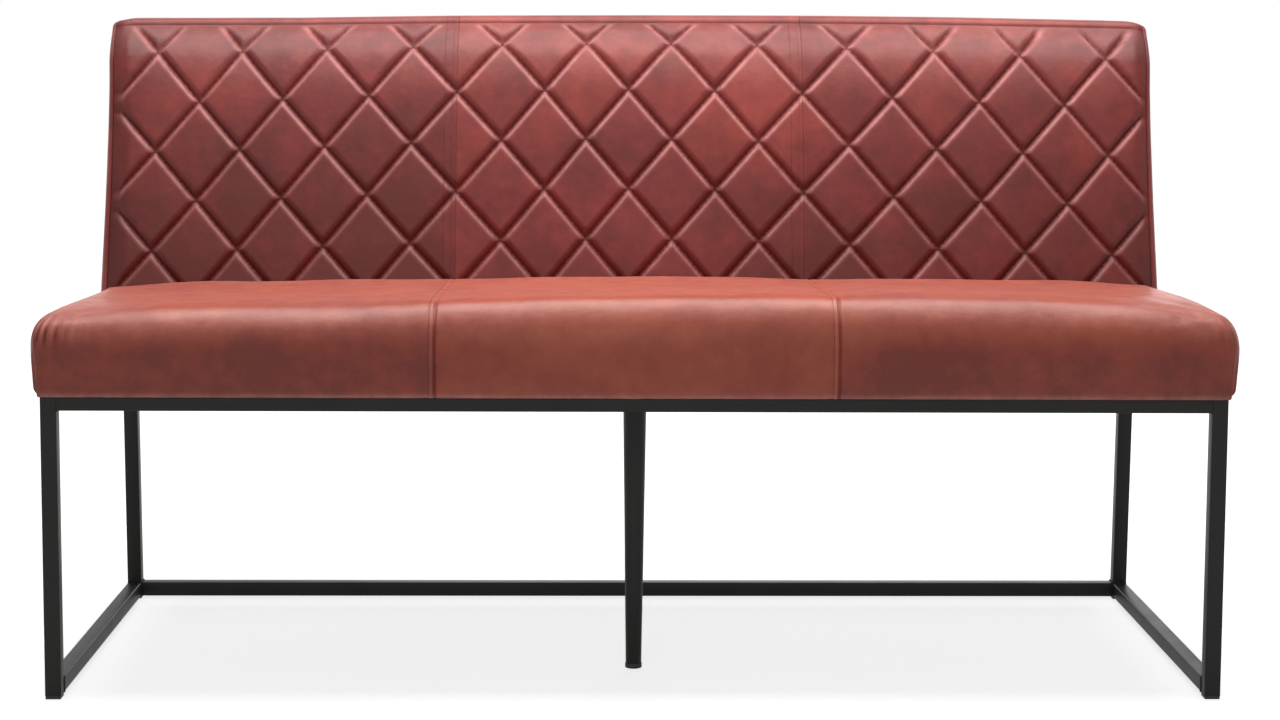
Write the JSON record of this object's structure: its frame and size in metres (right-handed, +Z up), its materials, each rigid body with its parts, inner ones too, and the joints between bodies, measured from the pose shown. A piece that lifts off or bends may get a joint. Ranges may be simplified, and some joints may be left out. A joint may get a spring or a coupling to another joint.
{
  "type": "dining bench sofa",
  "caption": "Upholstered dining bench: leather seat and leaning diamond-quilted back on a welded square-tube steel base with a tapered middle leg.",
  "frame": {"origin": "centre of the bench's bounding box in plan, on the floor", "axes": "+X to the right seen from the front, +Y towards the back, +Z up; the seat faces -Y"},
  "size_m": [1.502, 0.611, 0.848],
  "materials": {
    "base_steel": "fine-textured matt black powder coat",
    "glide": "moulded black nylon",
    "zinc": "bright zinc plate",
    "timber": "sawn beech",
    "board": "thin plywood",
    "webbing": "woven elastic strap",
    "foam": "cut polyurethane foam",
    "leather": "waxed red-brown pull-up leather with a soft sheen",
    "base_cloth": "black non-woven cloth"
  },
  "bodies": {
    "root": {"front_leg_left": "base_steel", "front_leg_right": "base_steel", "rear_leg_left": "base_steel", "rear_leg_right": "base_steel", "floor_runner_left": "base_steel", "floor_runner_right": "base_steel", "side_top_rail_left": "base_steel", "side_top_rail_right": "base_steel", "front_top_rail": "base_steel", "rear_top_rail": "base_steel", "rear_floor_stretcher": "base_steel", "centre_cross_rail": "base_steel", "middle_leg": "base_steel", "middle_leg_plate": "base_steel", "middle_leg_foot_cap": "glide", "floor_glides": "glide", "fixing_tabs": "base_steel", "joining_plates": "zinc", "fixing_screws": "zinc", "seat_front_rail": "timber", "seat_rear_rail": "timber", "seat_end_rail_left": "timber", "seat_end_rail_right": "timber", "seat_cross_rails": "timber", "seat_webbing": "webbing", "seat_foam": "foam", "seat_cover": "leather", "seat_base_cloth": "base_cloth", "back_lower_rail": "timber", "back_upper_rail": "timber", "back_upright_left": "timber", "back_upright_right": "timber", "back_inner_uprights": "timber", "back_board": "board", "back_foam": "foam", "back_quilted_cover": "leather", "back_rear_panel": "leather", "back_base_cloth": "base_cloth"}
  },
  "joints": []
}
